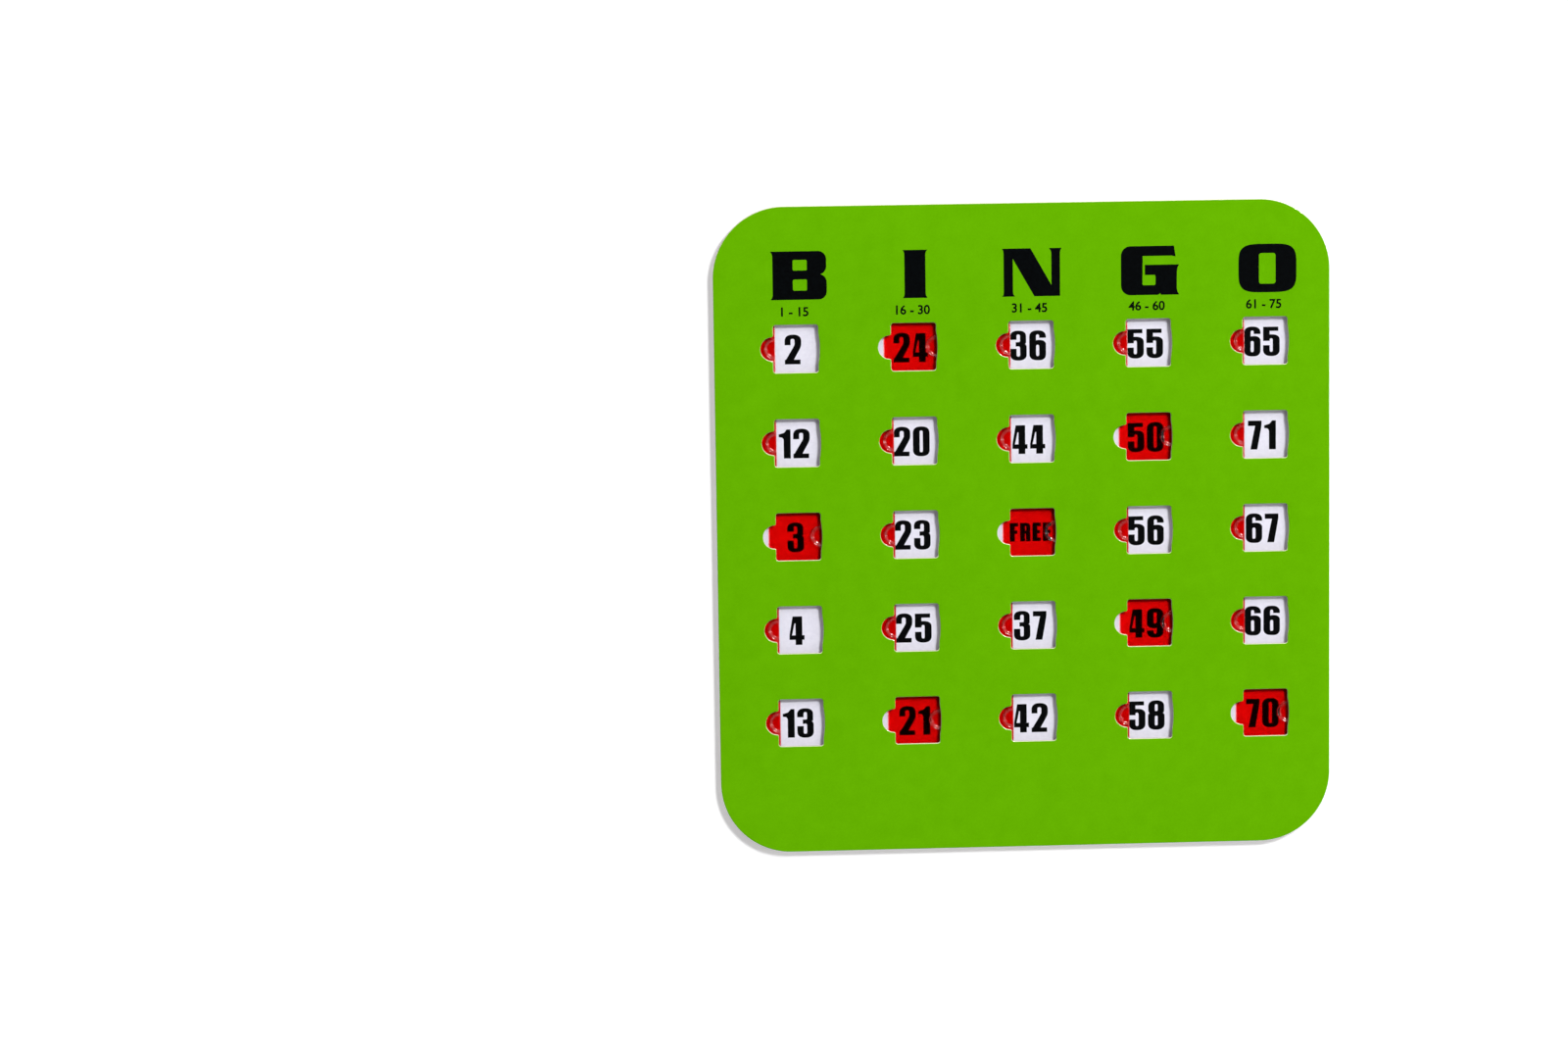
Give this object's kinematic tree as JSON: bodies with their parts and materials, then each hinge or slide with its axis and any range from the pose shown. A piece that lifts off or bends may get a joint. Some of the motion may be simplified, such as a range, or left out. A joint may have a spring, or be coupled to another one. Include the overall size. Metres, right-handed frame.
{
  "type": "bingo card",
  "caption": "Stiff rounded bingo card with a grid of numbered windows; each window has a finger notch and a translucent shutter that slides across its number.",
  "frame": {"origin": "middle of the card's back face", "axes": "+Z out of the printed face, +Y towards the heading, +X to the reader's right, the way each shutter closes"},
  "size_m": [0.181, 0.1906, 0.0021],
  "materials": {
    "face_print": "gloss film over green print",
    "board": "raw cut edge",
    "number_paper": "smooth white paper",
    "back_paper": "matt white lining paper",
    "shutter_plastic": "translucent moulded gloss"
  },
  "bodies": {
    "card": {"face_sheet": "face_print", "face_board": "board", "channel_board": "board", "number_sheet": "number_paper", "back_board": "board", "back_sheet": "back_paper"},
    "shutter_b1": {"shutter_b1": "shutter_plastic"},
    "shutter_b2": {"shutter_b2": "shutter_plastic"},
    "shutter_b3": {"shutter_b3": "shutter_plastic"},
    "shutter_b4": {"shutter_b4": "shutter_plastic"},
    "shutter_b5": {"shutter_b5": "shutter_plastic"},
    "shutter_i1": {"shutter_i1": "shutter_plastic"},
    "shutter_i2": {"shutter_i2": "shutter_plastic"},
    "shutter_i3": {"shutter_i3": "shutter_plastic"},
    "shutter_i4": {"shutter_i4": "shutter_plastic"},
    "shutter_i5": {"shutter_i5": "shutter_plastic"},
    "shutter_n1": {"shutter_n1": "shutter_plastic"},
    "shutter_n2": {"shutter_n2": "shutter_plastic"},
    "shutter_n3": {"shutter_n3": "shutter_plastic"},
    "shutter_n4": {"shutter_n4": "shutter_plastic"},
    "shutter_n5": {"shutter_n5": "shutter_plastic"},
    "shutter_g1": {"shutter_g1": "shutter_plastic"},
    "shutter_g2": {"shutter_g2": "shutter_plastic"},
    "shutter_g3": {"shutter_g3": "shutter_plastic"},
    "shutter_g4": {"shutter_g4": "shutter_plastic"},
    "shutter_g5": {"shutter_g5": "shutter_plastic"},
    "shutter_o1": {"shutter_o1": "shutter_plastic"},
    "shutter_o2": {"shutter_o2": "shutter_plastic"},
    "shutter_o3": {"shutter_o3": "shutter_plastic"},
    "shutter_o4": {"shutter_o4": "shutter_plastic"},
    "shutter_o5": {"shutter_o5": "shutter_plastic"}
  },
  "joints": [
    {"name": "slide_b1", "type": "slide", "parent": "card", "child": "shutter_b1", "axis": [1, 0, 0], "range_m": [0, 0.0129]},
    {"name": "slide_b2", "type": "slide", "parent": "card", "child": "shutter_b2", "axis": [1, 0, 0], "range_m": [0, 0.0129]},
    {"name": "slide_b3", "type": "slide", "parent": "card", "child": "shutter_b3", "axis": [1, 0, 0], "range_m": [-0.0129, 0]},
    {"name": "slide_b4", "type": "slide", "parent": "card", "child": "shutter_b4", "axis": [1, 0, 0], "range_m": [0, 0.0129]},
    {"name": "slide_b5", "type": "slide", "parent": "card", "child": "shutter_b5", "axis": [1, 0, 0], "range_m": [0, 0.0129]},
    {"name": "slide_i1", "type": "slide", "parent": "card", "child": "shutter_i1", "axis": [1, 0, 0], "range_m": [-0.0129, 0]},
    {"name": "slide_i2", "type": "slide", "parent": "card", "child": "shutter_i2", "axis": [1, 0, 0], "range_m": [0, 0.0129]},
    {"name": "slide_i3", "type": "slide", "parent": "card", "child": "shutter_i3", "axis": [1, 0, 0], "range_m": [0, 0.0129]},
    {"name": "slide_i4", "type": "slide", "parent": "card", "child": "shutter_i4", "axis": [1, 0, 0], "range_m": [0, 0.0129]},
    {"name": "slide_i5", "type": "slide", "parent": "card", "child": "shutter_i5", "axis": [1, 0, 0], "range_m": [-0.0129, 0]},
    {"name": "slide_n1", "type": "slide", "parent": "card", "child": "shutter_n1", "axis": [1, 0, 0], "range_m": [0, 0.0129]},
    {"name": "slide_n2", "type": "slide", "parent": "card", "child": "shutter_n2", "axis": [1, 0, 0], "range_m": [0, 0.0129]},
    {"name": "slide_n3", "type": "slide", "parent": "card", "child": "shutter_n3", "axis": [1, 0, 0], "range_m": [-0.0129, 0]},
    {"name": "slide_n4", "type": "slide", "parent": "card", "child": "shutter_n4", "axis": [1, 0, 0], "range_m": [0, 0.0129]},
    {"name": "slide_n5", "type": "slide", "parent": "card", "child": "shutter_n5", "axis": [1, 0, 0], "range_m": [0, 0.0129]},
    {"name": "slide_g1", "type": "slide", "parent": "card", "child": "shutter_g1", "axis": [1, 0, 0], "range_m": [0, 0.0129]},
    {"name": "slide_g2", "type": "slide", "parent": "card", "child": "shutter_g2", "axis": [1, 0, 0], "range_m": [-0.0129, 0]},
    {"name": "slide_g3", "type": "slide", "parent": "card", "child": "shutter_g3", "axis": [1, 0, 0], "range_m": [0, 0.0129]},
    {"name": "slide_g4", "type": "slide", "parent": "card", "child": "shutter_g4", "axis": [1, 0, 0], "range_m": [-0.0129, 0]},
    {"name": "slide_g5", "type": "slide", "parent": "card", "child": "shutter_g5", "axis": [1, 0, 0], "range_m": [0, 0.0129]},
    {"name": "slide_o1", "type": "slide", "parent": "card", "child": "shutter_o1", "axis": [1, 0, 0], "range_m": [0, 0.0129]},
    {"name": "slide_o2", "type": "slide", "parent": "card", "child": "shutter_o2", "axis": [1, 0, 0], "range_m": [0, 0.0129]},
    {"name": "slide_o3", "type": "slide", "parent": "card", "child": "shutter_o3", "axis": [1, 0, 0], "range_m": [0, 0.0129]},
    {"name": "slide_o4", "type": "slide", "parent": "card", "child": "shutter_o4", "axis": [1, 0, 0], "range_m": [0, 0.0129]},
    {"name": "slide_o5", "type": "slide", "parent": "card", "child": "shutter_o5", "axis": [1, 0, 0], "range_m": [-0.0129, 0]}
  ]
}
